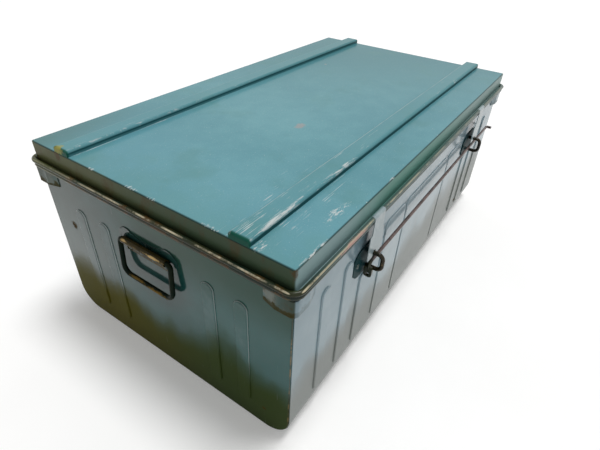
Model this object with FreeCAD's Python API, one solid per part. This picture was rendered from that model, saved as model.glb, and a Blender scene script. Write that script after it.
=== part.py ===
import FreeCAD, Part
import math
import os

# A sheet-steel trunk with a hinged lid, two hasps, a locking bar and two drop handles.
# Millimetres. X runs along the length, the front faces -Y, the floor is Z = 0.

V = FreeCAD.Vector

# Case and lid
lid_length = 914.0  # over the skirt
lid_depth = 513.0  # over the skirt
case_height = 357.0  # floor to the lid's plate
skirt_height = 35.5  # lid's plate down to the parting plane
lid_step = 1.0  # body walls stand this far inside the skirt
lid_edge = 2.2  # rounding along the lid's top edge
lid_corner = 3.0  # plan radius of the lid's skirt
sheet = 1.0  # steel sheet of body, lid and rims
wall_bend = 44.0  # outside radius where front and back turn into the floor
end_bend = 2.0  # outside radius where an end panel turns into its flange
end_flange = 15.0  # lap of that flange under the wrap
lap_gap = 0.1  # between lapped sheets

# Rolled rims
wire_diameter = 5.4
wire_fit = 0.05  # radial, wire in its curl
rim_reach = 10.75  # lid skirt to the outside of its bead
rim_corner = 16.0  # plan radius of the lid bead's centre line
rim_gap = 0.2  # between the two rims when shut
rim_leg = 18.0  # leg of the body rim inside the walls
bead_lift = 0.6  # lid bead above the underside of its flange

# Caps under the rim at the corners
cap_arm = 45.0  # along each wall
cap_taper = 21.0  # of that arm, running down to the wall
cap_height = 27.0
cap_sheet = 1.2
cap_corner = 9.0  # plan radius

# Pressed swages and panels
swage_width = 24.0
swage_height = 2.4
swage_round = 2.0  # along its crest
swage_plate_gap = 7.0  # staple plate to the swage below it
panel_height = 1.9
panel_round = 1.6  # along its crest
panel_corner = 14.0
pressing_drop = 51.5  # parting plane to the tops on front and back
pressing_rise = 4.0  # feet above the bend into the floor
outer_swage_inset = 78.0  # body end to the first swage
swage_pitch = 62.5
side_panel_inset = 66.0  # hasp centre to the side panel
side_panel_width = 80.0
panel_groove = 6.0  # between neighbouring panels
end_swage_drop = 64.5  # parting plane to the tops on the ends
end_swage_rise = 40.0  # feet above the floor
end_swage_inner = 112.0  # from the middle of the end
end_swage_pitch = 60.0

# Battens on the lid
batten_width = 32.0
batten_height = 10.5
batten_inset = 81.5  # lid skirt to the batten's middle
batten_sheet = 1.2
batten_edge = 4.5  # rounding along its top

# Rivets
rivet_diameter = 3.6
rivet_head = 8.0
rivet_head_height = 2.0
rivet_crown = 1.6  # rounding of the head
rivet_tail = 6.4
rivet_tail_height = 1.5
rivet_fit = 0.05  # radial, in its holes

# Hasps on the lid's rim wire
hasp_inset = 198.0  # body end to the hasp's middle
hasp_sheet = 1.2
knuckle_fit = 0.08  # radial, on the rim wire
hasp_neck = 34.0  # width over the rims
hasp_paddle = 44.0  # width over the staple
hasp_shoulder = 28.0  # rim wire down to where the strap widens
hasp_length = 75.0  # rim wire to the foot
hasp_corner = 4.0
hasp_notch_gap = 1.0  # beside and behind the knuckle in the lid's rim
strap_clear = 0.8  # strap to body bead
fork_gap = 2.0  # staple to the sides and top of the fork

# Staples and their plates
staple_diameter = 7.0
staple_rise = 29.0  # between the legs
staple_reach = 29.5  # plate to the outside of the nose
staple_bend = 9.0
staple_head = 13.0  # clenched end inside the wall
staple_head_height = 2.0
staple_plate_sheet = 2.0
staple_plate_width = 86.0
staple_plate_height = 52.0
staple_plate_corner = 20.0
staple_plate_lift = 3.0  # its middle above the bar
staple_rivet_spacing = 64.0

# Locking bar
bar_diameter = 6.0
bar_below_hasp = 6.0  # hasp foot to the bar
bar_standoff = 6.0  # staple plate to the bar
bar_start = 9.0  # left staple to the bent end
bar_overhang = 128.0  # past the right staple
bar_bend = 8.0
bar_tip_bend = 5.0  # turned out at the far end
bar_tip_clear = 2.0  # that end to the inside of the staple's nose
bar_drop = 7.0  # bar down to its flattened tab
tab_width = 14.0
tab_height = 20.0
tab_sheet = 5.0
tab_corner = 5.0
eye_diameter = 6.0
eye_edge = 5.8  # tab's foot to the eye's middle

# Drop handles
handle_drop = 64.0  # parting plane to the barrel's middle
handle_back = 6.5  # middle of the end to the handle's middle, towards the hinges
plate_sheet = 1.5
plate_half = 64.0
plate_lobe = 19.5
plate_top = 18.5  # above the barrel's middle
plate_dip = 10.5  # of the top edge between the lobes
plate_shoulder = 6.0  # barrel's middle down to where the plate narrows to the barrel
plate_foot = 21.0  # below the barrel's middle
barrel_sheet = 1.2
barrel_length = 94.0
bail_diameter = 8.0
bail_fit = 0.3  # radial, in the barrel
bail_shoulder = 1.0  # barrel end to the bail's bend
bail_length = 66.0  # barrel's middle to the grip's middle
bail_top_bend = 7.0
bail_grip_bend = 15.0
bail_lean = 4.0  # degrees out of upright at rest
tail_rivet_drop = 14.0  # barrel's middle to its rivets
tail_rivet_pitch = 26.0
tail_rivets = 4
backing_sheet = 1.5
backing_height = 16.0
backing_corner = 4.0

# Hinges on the back
hinge_inset = 206.0  # body end to the hinge's middle
hinge_pin_diameter = 5.0
hinge_fit = 0.05  # radial
hinge_sheet = 1.5
hinge_clear = 0.7  # knuckle to the lid's bead
hinge_crank_clear = 3.0  # leaf to the beads it steps over
hinge_width = 55.0
hinge_finger = 24.0  # lid's knuckle
hinge_end_gap = 0.5  # between knuckles
hinge_lid_leaf = 18.0  # height on the skirt
hinge_body_leaf = 34.0  # height on the wall
hinge_rivet_spacing = 36.0
hinge_pin_head = 7.0
hinge_pin_head_height = 1.5

# Levels and half sizes that follow
parting = case_height - skirt_height
lid_x = lid_length / 2
lid_y = lid_depth / 2
body_x = lid_x - lid_step
body_y = lid_y - lid_step
wire_r = wire_diameter / 2
curl_r = wire_r + wire_fit + sheet
lid_bead_x = lid_x + rim_reach - curl_r
lid_bead_y = lid_y + rim_reach - curl_r
lid_bead_z = parting + bead_lift + curl_r
bead_set_in = wire_fit + sheet + strap_clear - knuckle_fit
body_bead_x = lid_bead_x - bead_set_in
body_bead_y = lid_bead_y - bead_set_in
shelf_top = parting - rim_gap
body_bead_z = shelf_top - curl_r
wall_top = shelf_top - sheet - lap_gap
body_corner = rim_corner - bead_set_in
leg_inset = sheet + lap_gap
leg_corner = max(body_corner - (body_bead_y - body_y + leg_inset), 2 * sheet)
rivet_r = rivet_diameter / 2
hasp_x = body_x - hasp_inset
hasp_foot = lid_bead_z - hasp_length
staple_r = staple_diameter / 2
bar_r = bar_diameter / 2
bar_z = hasp_foot - bar_below_hasp - bar_r
staple_plate_out = body_y + staple_plate_sheet
bar_out = staple_plate_out + bar_standoff + bar_r
bar_tip_out = staple_plate_out + staple_reach - staple_diameter - bar_tip_clear
staple_plate_z = bar_z + staple_plate_lift
handle_z = parting - handle_drop
hinge_x = body_x - hinge_inset
hinge_knuckle_r = hinge_pin_diameter / 2 + hinge_fit + hinge_sheet
hinge_out = lid_bead_y + curl_r + hinge_clear + hinge_knuckle_r

# Walls are modelled as the front wall and turned about Z to where they stand
FRONT, RIGHT, BACK, LEFT = 0, 90, 180, 270
TOUCHING = 1e-6

nodes = {}


def block(x0, x1, y0, y1, z0, z1):
    return Part.makeBox(x1 - x0, y1 - y0, z1 - z0, V(x0, y0, z0))


def rod(start, end, radius):
    return Part.makeCylinder(radius, (end - start).Length, start, end - start)


def fused(shapes):
    return shapes[0].multiFuse(shapes[1:]).removeSplitter()


def facing(shape, turn):
    turned = shape.copy()
    turned.rotate(V(0, 0, 0), V(0, 0, 1), turn)
    return turned


def rounded_wire(u0, u1, w0, w1, radius, at):
    # Rectangle with rounded corners; at(u, w) places a point of it in space.
    arcs = []
    centres = [(u1, w0, -1, 1, -90), (u1, w1, -1, -1, 0), (u0, w1, 1, -1, 90), (u0, w0, 1, 1, 180)]
    for u, w, side_u, side_w, start in centres:
        points = []
        for step in (0, 45, 90):
            angle = math.radians(start + step)
            across = u + radius * (side_u + math.cos(angle))
            along = w + radius * (side_w + math.sin(angle))
            points.append(at(across, along))
        arcs.append(points)
    edges = []
    for index, points in enumerate(arcs):
        edges.append(Part.Arc(*points).toShape())
        following = arcs[(index + 1) % len(arcs)][0]
        if points[2].distanceToPoint(following) > TOUCHING:
            edges.append(Part.makeLine(points[2], following))
    return Part.Wire(edges)


def plan_block(half_x, half_y, radius, z0, z1):
    outline = rounded_wire(-half_x, half_x, -half_y, half_y, radius, lambda x, y: V(x, y, z0))
    return Part.Face(outline).extrude(V(0, 0, z1 - z0))


def wall_pad(u0, u1, w0, w1, radius, out0, out1):
    # Rounded pad on the front wall, from out0 to out1 in front of the middle.
    outline = rounded_wire(u0, u1, w0, w1, radius, lambda u, w: V(u, -out0, w))
    return Part.Face(outline).extrude(V(0, out0 - out1, 0))


def edges_in_front(shape, out):
    found = []
    for edge in shape.Edges:
        box = edge.BoundBox
        if abs(box.YMin + out) < TOUCHING and abs(box.YMax + out) < TOUCHING:
            found.append(edge)
    return found


def edges_at_level(shape, z):
    found = []
    for edge in shape.Edges:
        box = edge.BoundBox
        if abs(box.ZMin - z) < TOUCHING and abs(box.ZMax - z) < TOUCHING:
            found.append(edge)
    return found


def bent_bar(points, bends, radius, closed=False):
    # Round bar along straight runs joined by tangent arcs; bends holds one radius per corner.
    count = len(points)
    corners = range(count) if closed else range(1, count - 1)
    starts = {}
    ends = {}
    pieces = []
    for index, bend in zip(corners, bends):
        corner = points[index]
        into = (corner - points[index - 1]).normalize()
        away = (points[(index + 1) % count] - corner).normalize()
        turn = into.getAngle(away)
        reach = bend * math.tan(turn / 2)
        axis = into.cross(away).normalize()
        starts[index] = corner - into * reach
        ends[index] = corner + away * reach
        centre = starts[index] + axis.cross(into) * bend
        section = Part.Face(Part.Wire(Part.makeCircle(radius, starts[index], into)))
        pieces.append(section.revolve(centre, axis, math.degrees(turn)))
    for index in range(count if closed else count - 1):
        following = (index + 1) % count
        run_start = ends.get(index, points[index])
        run_end = starts.get(following, points[following])
        if run_start.distanceToPoint(run_end) > TOUCHING:
            pieces.append(rod(run_start, run_end, radius))
    return fused(pieces)


def plan_bar(half_x, half_y, corner, z, radius):
    points = [V(half_x, -half_y, z), V(half_x, half_y, z), V(-half_x, half_y, z), V(-half_x, -half_y, z)]
    return bent_bar(points, [corner] * len(points), radius, closed=True)


def rolled_edge(half_x, half_y, corner, z):
    outside = plan_bar(half_x, half_y, corner, z, curl_r)
    return outside.cut(plan_bar(half_x, half_y, corner, z, curl_r - sheet))


def rivet(u, w, outer, grip):
    # Round-headed rivet through a stack whose outside lies `outer` in front of the middle.
    inner = outer - grip
    shank = rod(V(u, -outer, w), V(u, -inner, w), rivet_r)
    head = rod(V(u, -outer, w), V(u, -outer - rivet_head_height, w), rivet_head / 2)
    crown = edges_in_front(head, outer + rivet_head_height)
    head = head.makeFillet(rivet_crown, crown)
    tail = rod(V(u, -inner, w), V(u, rivet_tail_height - inner, w), rivet_tail / 2)
    return fused([shank, head, tail])


def hole(u, w, outer, inner, radius):
    return rod(V(u, -outer, w), V(u, -inner, w), radius)


def rivet_holes(spots, outer, inner):
    return Part.makeCompound([hole(u, w, outer, inner, rivet_r + rivet_fit) for u, w in spots])


def pressing(u0, u1, w0, w1, radius, out, height, crest):
    # Raised outside and matching hollow of a pressed area on a wall whose outside lies at `out`.
    raised = wall_pad(u0, u1, w0, w1, radius, out - sheet / 2, out + height)
    raised = raised.makeFillet(crest, edges_in_front(raised, out + height))
    floor = out + height - sheet
    hollow_edges = [u0 + sheet, u1 - sheet, w0 + sheet, w1 - sheet]
    hollow = wall_pad(*hollow_edges, radius - sheet, out - 2 * sheet, floor)
    if crest > sheet:
        hollow = hollow.makeFillet(crest - sheet, edges_in_front(hollow, floor))
    return raised, hollow


def swage(u, w0, w1, out):
    half = swage_width / 2
    return pressing(u - half, u + half, w0, w1, half, out, swage_height, swage_round)


def pressed_wall(wall, pressings, turn):
    raised = [facing(shape, turn) for shape, _ in pressings]
    hollows = [facing(shape, turn) for _, shape in pressings]
    return wall.multiFuse(raised).removeSplitter().cut(Part.makeCompound(hollows))


def staple_spots():
    across = staple_rivet_spacing / 2
    return [(-across, staple_plate_z), (across, staple_plate_z)]


def tail_spots():
    first = -tail_rivet_pitch * (tail_rivets - 1) / 2
    return [(first + index * tail_rivet_pitch, handle_z - tail_rivet_drop) for index in range(tail_rivets)]


def moved(spots, u):
    return [(across + u, w) for across, w in spots]


# Hinge leaves step over the beads; their levels follow from the beads
lid_crank = lid_bead_z + curl_r + hinge_crank_clear
body_crank = body_bead_z - curl_r - hinge_crank_clear
lid_leaf_top = lid_crank + hinge_lid_leaf
body_leaf_foot = body_crank - hinge_body_leaf
hinge_half = hinge_width / 2


def hinge_spots(w):
    across = hinge_rivet_spacing / 2
    return [(-across, w), (across, w)]


hinge_lid_spots = hinge_spots((lid_crank + hinge_sheet + lid_leaf_top) / 2)
hinge_body_spots = hinge_spots((body_crank - hinge_sheet + body_leaf_foot) / 2)


def u_outline(half_y, foot, radius, top, x):
    # Upright rectangle in the YZ plane with its two lower corners rounded.
    slope = radius * math.sqrt(0.5)
    left = V(x, radius - half_y, foot + radius)
    right = V(x, half_y - radius, foot + radius)
    edges = [
        Part.makeLine(V(x, -half_y, top), V(x, -half_y, left.z)),
        Part.Arc(V(x, -half_y, left.z), left + V(0, -slope, -slope), V(x, left.y, foot)).toShape(),
        Part.makeLine(V(x, left.y, foot), V(x, right.y, foot)),
        Part.Arc(V(x, right.y, foot), right + V(0, slope, -slope), V(x, half_y, right.z)).toShape(),
        Part.makeLine(V(x, half_y, right.z), V(x, half_y, top)),
        Part.makeLine(V(x, half_y, top), V(x, -half_y, top)),
    ]
    return Part.Wire(edges)


# Body: front, floor and back in one sheet
wrap_x = body_x - end_bend - sheet
wrap_length = V(2 * wrap_x, 0, 0)
outer_u = Part.Face(u_outline(body_y, 0, wall_bend, wall_top, -wrap_x)).extrude(wrap_length)
inner_u = Part.Face(u_outline(body_y - sheet, sheet, wall_bend - sheet, wall_top + sheet, -wrap_x))
body_wrap = outer_u.cut(inner_u.extrude(wrap_length))

pressing_top = parting - pressing_drop
pressing_foot = wall_bend + pressing_rise
side_panel_edge = hasp_x - side_panel_inset
middle_panel_edge = side_panel_edge - side_panel_width - panel_groove
outer_swage_x = body_x - outer_swage_inset


def long_wall_panel(u0, u1):
    return pressing(u0, u1, pressing_foot, pressing_top, panel_corner, body_y, panel_height, panel_round)


def long_wall_pressings(hasp_swage_top):
    made = [long_wall_panel(-middle_panel_edge, middle_panel_edge)]
    for side in (-1, 1):
        edges = sorted((side * side_panel_edge, side * (side_panel_edge - side_panel_width)))
        made.append(long_wall_panel(*edges))
        for u in (outer_swage_x, outer_swage_x - swage_pitch):
            made.append(swage(side * u, pressing_foot, pressing_top, body_y))
        made.append(swage(side * hasp_x, pressing_foot, hasp_swage_top, body_y))
    return made


short_swage_top = staple_plate_z - staple_plate_height / 2 - swage_plate_gap
body_wrap = pressed_wall(body_wrap, long_wall_pressings(short_swage_top), FRONT)
body_wrap = pressed_wall(body_wrap, long_wall_pressings(pressing_top), BACK)

staple_legs = [bar_z - staple_rise / 2, bar_z + staple_rise / 2]
staple_hole_r = staple_r + rivet_fit
for side in (-1, 1):
    spots = moved(staple_spots(), side * hasp_x)
    body_wrap = body_wrap.cut(rivet_holes(spots, body_y + sheet, body_y - 2 * sheet))
    for w in staple_legs:
        body_wrap = body_wrap.cut(hole(side * hasp_x, w, body_y + sheet, body_y - 2 * sheet, staple_hole_r))
    spots = moved(hinge_body_spots, side * hinge_x)
    holes = rivet_holes(spots, body_y + sheet, body_y - 2 * sheet)
    body_wrap = body_wrap.cut(facing(holes, BACK))
nodes["body_wrap"] = body_wrap

# Body: end panels, pans whose flanges lie inside the wrap
pan_y = body_y - sheet - lap_gap
pan_foot = sheet + lap_gap
pan_bend = wall_bend - sheet - lap_gap
pan_depth = end_bend + end_flange
pan_top = wall_top + 2 * end_bend


def pan_block(inset):
    # The pan's outside for inset 0, its hollow for inset of one sheet.
    x = inset - body_x
    outline = u_outline(pan_y - inset, pan_foot + inset, pan_bend - inset, pan_top, x)
    solid = Part.Face(outline).extrude(V(pan_depth, 0, 0))
    rounded = []
    for edge in solid.Edges:
        box = edge.BoundBox
        upright = box.ZMin < pan_top - TOUCHING
        if upright and abs(box.XMin - x) < TOUCHING and abs(box.XMax - x) < TOUCHING:
            rounded.append(edge)
    return solid.makeFillet(end_bend - inset, rounded)


def end_panel():
    pan = pan_block(0).cut(pan_block(sheet))
    flat_y = pan_y - end_bend
    flange_top = parting - rim_leg - sheet
    inside = sheet - body_x
    trims = [
        block(-body_x - sheet, 0, -body_y, body_y, wall_top, pan_top + sheet),
        block(inside, 0, -body_y, body_y, flange_top, pan_top),
        block(-body_x - sheet, 0, -body_y, -flat_y, flange_top, pan_top),
        block(-body_x - sheet, 0, flat_y, body_y, flange_top, pan_top),
    ]
    pan = pan.cut(Part.makeCompound(trims))
    pressings = []
    for u in (end_swage_inner, end_swage_inner + end_swage_pitch):
        for side in (-1, 1):
            pressings.append(swage(side * u, end_swage_rise, parting - end_swage_drop, body_x))
    pan = pressed_wall(pan, pressings, LEFT)
    spots = moved(tail_spots(), -handle_back)
    return pan.cut(facing(rivet_holes(spots, body_x + sheet, body_x - 2 * sheet), LEFT))


nodes["end_panel_left"] = end_panel()
nodes["end_panel_right"] = nodes["end_panel_left"].mirror(V(0, 0, 0), V(1, 0, 0))

# Body: rolled rim with a leg inside the walls, and its wire
leg_x = body_x - leg_inset
leg_y = body_y - leg_inset
leg_foot = shelf_top - rim_leg
leg = plan_block(leg_x, leg_y, leg_corner, leg_foot, shelf_top)
shelf = plan_block(body_bead_x, body_bead_y, body_corner, shelf_top - sheet, shelf_top)
mouth = plan_block(leg_x - sheet, leg_y - sheet, leg_corner - sheet, leg_foot - sheet, shelf_top + sheet)
shelf_and_leg = leg.fuse(shelf).cut(mouth)
bead_bore = plan_bar(body_bead_x, body_bead_y, body_corner, body_bead_z, curl_r - sheet)
body_curl = rolled_edge(body_bead_x, body_bead_y, body_corner, body_bead_z)
nodes["body_rim"] = shelf_and_leg.fuse(body_curl).cut(bead_bore).removeSplitter()
nodes["body_rim_wire"] = plan_bar(body_bead_x, body_bead_y, body_corner, body_bead_z, wire_r)


# Body: hollow caps under the rim at the corners
def arms_block(proud, tip, foot, top):
    # Room round the left front corner, `tip` thick at the ends of the arms and `proud` past their taper.
    side = [(0, cap_arm), (tip, cap_arm), (2 * proud - tip, cap_arm - 2 * cap_taper)]
    corner = 2 * proud - tip
    points = [V(-body_x - out, along - body_y, foot) for out, along in side]
    points.append(V(-body_x - corner, -body_y - corner, foot))
    points += [V(along - body_x, -body_y - out, foot) for out, along in reversed(side)]
    points.append(V(-body_x, -body_y, foot))
    return Part.Face(Part.makePolygon(points + points[:1])).extrude(V(0, 0, top - foot))


def rim_cap(side_x, side_y):
    cap_top = body_bead_z - curl_r - lap_gap
    cap_foot = cap_top - cap_height
    proud = body_bead_y - body_y + cap_sheet / 2
    outside = plan_block(body_x + proud, body_y + proud, cap_corner, cap_foot, cap_top)
    outside = outside.common(arms_block(proud, cap_sheet, cap_foot - cap_sheet, cap_top + cap_sheet))
    hollow = proud - cap_sheet
    inside = plan_block(body_x + hollow, body_y + hollow, cap_corner - cap_sheet, cap_foot + cap_sheet,
                        cap_top + cap_sheet)
    inside = inside.common(arms_block(hollow, lap_gap, cap_foot, cap_top + 2 * cap_sheet))
    walls = block(-body_x - lap_gap, 0, -body_y - lap_gap, 0, cap_foot - sheet, cap_top + sheet)
    cap = outside.cut(inside).cut(walls)
    if side_x > 0:
        cap = cap.mirror(V(0, 0, 0), V(1, 0, 0))
    if side_y > 0:
        cap = cap.mirror(V(0, 0, 0), V(0, 1, 0))
    return cap


for end, side_x in (("left", -1), ("right", 1)):
    for wall, side_y in (("front", -1), ("back", 1)):
        nodes[f"rim_corner_{wall}_{end}"] = rim_cap(side_x, side_y)

# Lid: plate, skirt, flange and rolled edge, notched where the hasps hang
lid_block = plan_block(lid_x, lid_y, lid_corner, parting, case_height)
lid_block = lid_block.makeFillet(lid_edge, edges_at_level(lid_block, case_height))
plate_under = case_height - sheet
lid_hollow = plan_block(lid_x - sheet, lid_y - sheet, lid_corner - sheet, parting - sheet, plate_under)
lid_hollow = lid_hollow.makeFillet(lid_edge - sheet, edges_at_level(lid_hollow, plate_under))
flange = plan_block(lid_bead_x, lid_bead_y, rim_corner, parting, parting + sheet)
lid_bore = plan_bar(lid_bead_x, lid_bead_y, rim_corner, lid_bead_z, curl_r - sheet)
lid_curl = rolled_edge(lid_bead_x, lid_bead_y, rim_corner, lid_bead_z)
lid_shell = lid_block.fuse(flange).cut(lid_hollow).fuse(lid_curl).cut(lid_bore).removeSplitter()

knuckle_r = wire_r + knuckle_fit + hasp_sheet
notch_half = hasp_neck / 2 + hasp_notch_gap
notch_back = lid_bead_y - knuckle_r - hasp_notch_gap
for side in (-1, 1):
    u = side * hasp_x
    notch_top = lid_bead_z + 2 * curl_r
    notch = block(u - notch_half, u + notch_half, -2 * lid_y, -notch_back, parting - sheet, notch_top)
    lid_shell = lid_shell.cut(notch)
    spots = moved(hinge_lid_spots, side * hinge_x)
    lid_shell = lid_shell.cut(facing(rivet_holes(spots, lid_y + sheet, lid_y - 2 * sheet), BACK))
nodes["lid_shell"] = lid_shell
nodes["lid_rim_wire"] = plan_bar(lid_bead_x, lid_bead_y, rim_corner, lid_bead_z, wire_r)


# Lid: channels along the top
def batten(side):
    half = batten_width / 2
    top = case_height + batten_height
    middle = side * (lid_y - batten_inset)
    bar = block(-lid_x, lid_x, middle - half, middle + half, case_height, top)
    bar = bar.makeFillet(batten_edge, edges_at_level(bar, top))
    channel = block(batten_sheet - lid_x, lid_x - batten_sheet, middle - half + batten_sheet,
                    middle + half - batten_sheet, case_height - sheet, top - batten_sheet)
    channel = channel.makeFillet(batten_edge - batten_sheet, edges_at_level(channel, top - batten_sheet))
    return bar.cut(channel)


nodes["batten_front"] = batten(-1)
nodes["batten_rear"] = batten(1)


# Hasps: straps rolled round the lid's rim wire, forked over the staples
def hasp(u):
    axis = V(0, -lid_bead_y, lid_bead_z)
    half_neck = V(hasp_neck / 2, 0, 0)
    knuckle = rod(axis - half_neck, axis + half_neck, knuckle_r)
    inner = lid_bead_y + wire_r + knuckle_fit
    outer = inner + hasp_sheet
    shoulder = lid_bead_z - hasp_shoulder
    neck = block(-hasp_neck / 2, hasp_neck / 2, -outer, -inner, shoulder - hasp_corner, lid_bead_z)
    paddle = wall_pad(-hasp_paddle / 2, hasp_paddle / 2, hasp_foot, shoulder, hasp_corner, inner, outer)
    bore = rod(axis - half_neck * 2, axis + half_neck * 2, wire_r + knuckle_fit)
    fork_top = staple_legs[1] + staple_r + fork_gap
    fork_half = staple_r + fork_gap
    fork = wall_pad(-fork_half, fork_half, hasp_foot - 2 * fork_half, fork_top, fork_half,
                    inner - hasp_sheet, outer + hasp_sheet)
    strap = fused([knuckle, neck, paddle]).cut(bore).cut(fork)
    strap.translate(V(u, 0, 0))
    return strap


nodes["hasp_left"] = hasp(-hasp_x)
nodes["hasp_right"] = hasp(hasp_x)


# Staples: round U bars through a plate and the front wall, clenched inside
def staple_plate(u):
    half = staple_plate_width / 2
    foot = staple_plate_z - staple_plate_height / 2
    outer = staple_plate_out
    top = foot + staple_plate_height
    plate = wall_pad(u - half, u + half, foot, top, staple_plate_corner, body_y, outer)
    plate = plate.cut(rivet_holes(moved(staple_spots(), u), outer + sheet, body_y - sheet))
    for w in staple_legs:
        plate = plate.cut(hole(u, w, outer + sheet, body_y - sheet, staple_hole_r))
    return plate


def staple(u):
    nose = staple_plate_out + staple_reach - staple_r
    inside = body_y - sheet - staple_head_height
    low, high = staple_legs
    route = [V(u, -inside, low), V(u, -nose, low), V(u, -nose, high), V(u, -inside, high)]
    pieces = [bent_bar(route, [staple_bend, staple_bend], staple_r)]
    for w in staple_legs:
        pieces.append(rod(V(u, sheet - body_y, w), V(u, -inside, w), staple_head / 2))
    return fused(pieces)


for end, side in (("left", -1), ("right", 1)):
    nodes[f"staple_plate_{end}"] = staple_plate(side * hasp_x)
    nodes[f"staple_{end}"] = staple(side * hasp_x)
    spots = moved(staple_spots(), side * hasp_x)
    rivets = [rivet(u, w, staple_plate_out, staple_plate_sheet + sheet) for u, w in spots]
    nodes[f"staple_rivets_{end}"] = Part.makeCompound(rivets)

# Locking bar: bent down to a flat tab with a padlock eye, turned out at the far end
bar_left = -hasp_x - bar_start
bar_right = hasp_x + bar_overhang
tab_top = bar_z - bar_drop
bar_route = [
    V(bar_left, -bar_out, tab_top - tab_sheet),
    V(bar_left, -bar_out, bar_z),
    V(bar_right, -bar_out, bar_z),
    V(bar_right, -bar_tip_out, bar_z),
]
bar = bent_bar(bar_route, [bar_bend, bar_tip_bend], bar_r)
tab_foot = tab_top - tab_height
tab_out = -bar_left + tab_sheet / 2
tab = wall_pad(bar_out - tab_width / 2, bar_out + tab_width / 2, tab_foot, tab_top, tab_corner,
               tab_out - tab_sheet, tab_out)
eye = hole(bar_out, tab_foot + eye_edge, tab_out + tab_sheet, tab_out - 2 * tab_sheet, eye_diameter / 2)
tab = facing(tab.cut(eye), LEFT)
nodes["locking_bar"] = fused([bar, tab])

# Drop handles: two-lobed plate, rolled barrel, bail, and a strip inside
plate_out = body_x + plate_sheet
bail_r = bail_diameter / 2
barrel_r = bail_r + bail_fit + barrel_sheet
barrel_out = plate_out + barrel_r
barrel_half = barrel_length / 2


def handle_plate():
    top = handle_z + plate_top
    lobe_u = plate_half - plate_lobe
    lobe_w = top - plate_lobe
    rise = plate_lobe - plate_dip
    dip_r = (lobe_u ** 2 + rise ** 2 - plate_lobe ** 2) / (2 * plate_dip)
    dip_w = top - plate_dip + dip_r
    lean = math.atan2(dip_w - lobe_w, lobe_u)
    foot = handle_z - plate_foot
    shoulder = handle_z - plate_shoulder

    def at(u, w):
        return V(u, -body_x, w)

    def lobe_point(side, angle):
        return at(side * (lobe_u - plate_lobe * math.cos(angle)), lobe_w + plate_lobe * math.sin(angle))

    middle_angle = (lean + math.pi) / 2
    right_arc = [lobe_point(1, angle) for angle in (math.pi, middle_angle, lean)]
    left_arc = [lobe_point(-1, angle) for angle in (lean, middle_angle, math.pi)]
    edges = [
        Part.makeLine(at(-barrel_half, foot), at(barrel_half, foot)),
        Part.makeLine(at(barrel_half, foot), at(barrel_half, shoulder)),
        Part.makeLine(at(barrel_half, shoulder), at(plate_half, shoulder)),
        Part.makeLine(at(plate_half, shoulder), right_arc[0]),
        Part.Arc(*right_arc).toShape(),
        Part.Arc(right_arc[2], at(0, top - plate_dip), left_arc[0]).toShape(),
        Part.Arc(*left_arc).toShape(),
        Part.makeLine(left_arc[2], at(-plate_half, shoulder)),
        Part.makeLine(at(-plate_half, shoulder), at(-barrel_half, shoulder)),
        Part.makeLine(at(-barrel_half, shoulder), at(-barrel_half, foot)),
    ]
    plate = Part.Face(Part.Wire(edges)).extrude(V(0, -plate_sheet, 0))
    return plate.cut(rivet_holes(tail_spots(), plate_out + sheet, body_x - sheet))


def handle_keeper():
    half = V(barrel_half, 0, 0)
    axis = V(0, -barrel_out, handle_z)
    barrel = rod(axis - half, axis + half, barrel_r)
    tail_foot = handle_z - plate_foot
    tail = block(-barrel_half, barrel_half, -plate_out - barrel_sheet, -plate_out, tail_foot, handle_z)
    bore = rod(axis - half * 2, axis + half * 2, bail_r + bail_fit)
    keeper = fused([barrel, tail]).cut(bore)
    return keeper.cut(rivet_holes(tail_spots(), plate_out + 2 * barrel_sheet, plate_out - sheet))


def handle_bail():
    # Bent and leaned about the barrel's middle, then hung in its place
    half = barrel_half + bail_shoulder + bail_top_bend
    route = [V(half, 0, -bail_length), V(half, 0, 0), V(-half, 0, 0), V(-half, 0, -bail_length)]
    bends = [bail_grip_bend, bail_top_bend, bail_top_bend, bail_grip_bend]
    bail = bent_bar(route, bends, bail_r, closed=True)
    bail.rotate(V(0, 0, 0), V(1, 0, 0), -bail_lean)
    bail.translate(V(0, -barrel_out, handle_z))
    return bail


def handle_backing():
    inner = body_x - sheet
    middle = handle_z - tail_rivet_drop
    strip = wall_pad(-barrel_half, barrel_half, middle - backing_height / 2, middle + backing_height / 2,
                     backing_corner, inner - backing_sheet, inner)
    return strip.cut(rivet_holes(tail_spots(), body_x, inner - 2 * backing_sheet))


def handle_rivets():
    outer = plate_out + barrel_sheet
    grip = barrel_sheet + plate_sheet + sheet + backing_sheet
    return Part.makeCompound([rivet(u, w, outer, grip) for u, w in tail_spots()])


handle_pieces = {
    "handle_plate": handle_plate(),
    "handle_keeper": handle_keeper(),
    "handle_bail": handle_bail(),
    "handle_backing": handle_backing(),
    "handle_rivets": handle_rivets(),
}
for end, turn, side in (("left", LEFT, -1), ("right", RIGHT, 1)):
    for name, shape in handle_pieces.items():
        placed = shape.copy()
        placed.translate(V(side * handle_back, 0, 0))
        nodes[f"{name}_{end}"] = facing(placed, turn)


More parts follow.
